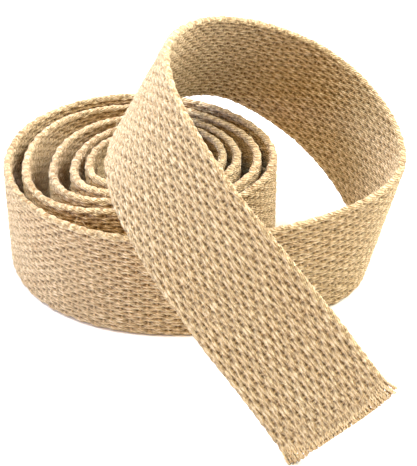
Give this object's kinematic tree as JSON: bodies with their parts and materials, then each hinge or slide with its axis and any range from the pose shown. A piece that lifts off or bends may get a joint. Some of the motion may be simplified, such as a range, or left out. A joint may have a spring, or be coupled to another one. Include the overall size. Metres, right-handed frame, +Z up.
{
  "type": "roll of cotton webbing",
  "caption": "Roll of natural cotton webbing standing on its edge, loosely wound, with an open loop and a slanting tail that ends in a frayed cut.",
  "frame": {"origin": "middle of the bounding box, on the surface that the roll stands on", "axes": "+Z up along the roll's axis, +X to the right and -Y towards the hanging tail, as in the picture"},
  "size_m": [0.1387, 0.1606, 0.0865],
  "materials": {
    "webbing": "matte woven natural cotton",
    "frayed_yarn": "matte loose cotton yarn"
  },
  "bodies": {
    "root": {"webbing": "webbing", "frayed_end": "frayed_yarn"}
  },
  "joints": []
}
